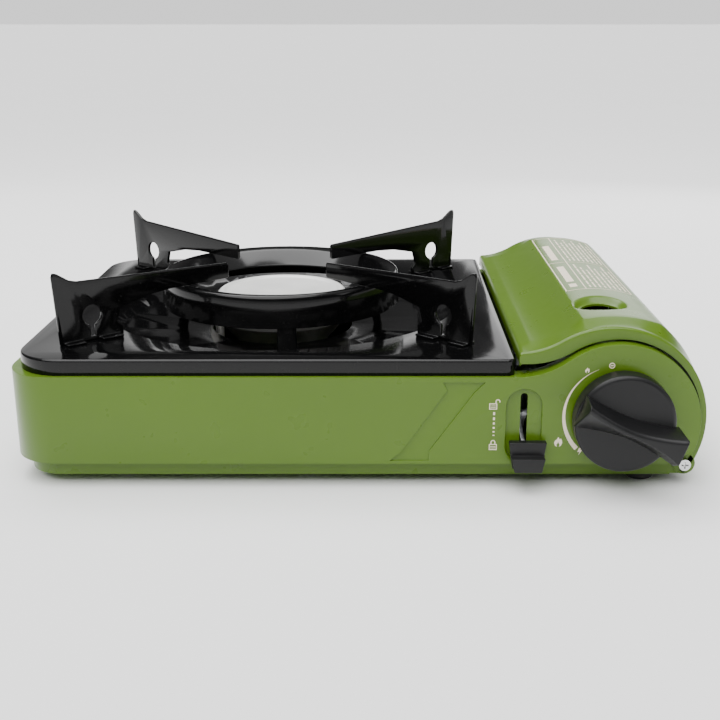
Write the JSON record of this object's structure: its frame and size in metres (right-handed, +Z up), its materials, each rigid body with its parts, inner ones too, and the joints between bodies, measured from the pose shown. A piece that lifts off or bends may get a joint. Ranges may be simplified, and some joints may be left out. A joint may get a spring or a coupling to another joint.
{
  "type": "camping stove",
  "caption": "Portable single-burner gas stove with a hinged cartridge lid, a lift-off drip tray with pot supports, a control knob and a cartridge lock lever.",
  "frame": {"origin": "on the surface that the stove stands on, under the centre of its outline, which runs from the left wall to the lid and from the knob to the rear wall", "axes": "+X to the user's right, towards the cartridge lid; +Y away from the user, towards the rear wall; +Z up"},
  "size_m": [0.34, 0.263, 0.102],
  "materials": {
    "green_paint": "gloss powder coat with a faint orange peel",
    "black_enamel": "gloss vitreous enamel",
    "galvanised_steel": "satin zinc coat",
    "screw_steel": "bright plated",
    "black_rubber": "matt",
    "black_plastic": "fine moulded texture",
    "zinc_casting": "as cast",
    "brass": "turned",
    "burner_casting": "cast and machined",
    "burner_cap_steel": "bead blasted",
    "igniter_plastic": "moulded",
    "wire_sleeve": "silicone sleeve",
    "white_ceramic": "glazed"
  },
  "bodies": {
    "stove_body": {"body_shell": "green_paint", "base_pan": "green_paint", "foot_front_left": "black_rubber", "foot_front_right": "black_rubber", "foot_rear_left": "black_rubber", "foot_rear_right": "black_rubber", "base_screws": "screw_steel", "bay_partition": "galvanised_steel", "cartridge_rails": "galvanised_steel", "regulator_body": "zinc_casting", "regulator_cover": "zinc_casting", "regulator_screws": "screw_steel", "inlet_seal": "black_rubber", "valve_body": "brass", "jet_holder": "brass", "jet_nozzle": "brass", "mixing_tube": "galvanised_steel", "air_shutter": "galvanised_steel", "burner_bracket": "galvanised_steel", "burner_base": "burner_casting", "burner_port_ring": "burner_casting", "burner_cap": "burner_cap_steel", "burner_screws": "screw_steel", "igniter_module": "igniter_plastic", "ignition_wire": "wire_sleeve", "electrode_insulator": "white_ceramic", "electrode_rod": "screw_steel", "hinge_screw_front": "screw_steel", "hinge_screw_rear": "screw_steel", "lever_pivot_pin": "screw_steel"},
    "top_plate": {"drip_tray": "black_enamel", "wind_ring": "black_enamel", "ring_legs": "black_enamel", "support_front_left": "black_enamel", "support_front_right": "black_enamel", "support_rear_left": "black_enamel", "support_rear_right": "black_enamel"},
    "cartridge_lid": {"lid": "green_paint", "lid_spring": "galvanised_steel"},
    "knob": {"control_knob": "black_plastic", "valve_stem": "brass", "igniter_cam": "igniter_plastic"},
    "lock_lever": {"lever_cap": "black_plastic", "lever_arm": "galvanised_steel"},
    "pusher": {"pusher_bar": "galvanised_steel", "pusher_plate": "galvanised_steel"}
  },
  "joints": [
    {"name": "top_plate_lift", "type": "slide", "parent": "stove_body", "child": "top_plate", "axis": [0, 0, 1], "range_m": [0, 0.06]},
    {"name": "lid_hinge", "type": "hinge", "parent": "stove_body", "child": "cartridge_lid", "pos_m": [0.1605, 0, 0.011], "axis": [0, 1, 0], "range_deg": [0, 88]},
    {"name": "knob_turn", "type": "hinge", "parent": "stove_body", "child": "knob", "pos_m": [0.127, -0.1055, 0.0374], "axis": [0, -1, 0], "range_deg": [-55, 70]},
    {"name": "lock_lever_swing", "type": "hinge", "parent": "stove_body", "child": "lock_lever", "pos_m": [0.0805, -0.045, 0.036], "axis": [-1, 0, 0], "range_deg": [0, 22]},
    {"name": "pusher_slide", "type": "slide", "parent": "stove_body", "child": "pusher", "axis": [0, 1, 0], "range_m": [0, 0.0058]}
  ],
  "couplings": [
    {"joint": "pusher_slide", "follows": "lock_lever_swing", "m_per_rad": 0.015}
  ]
}
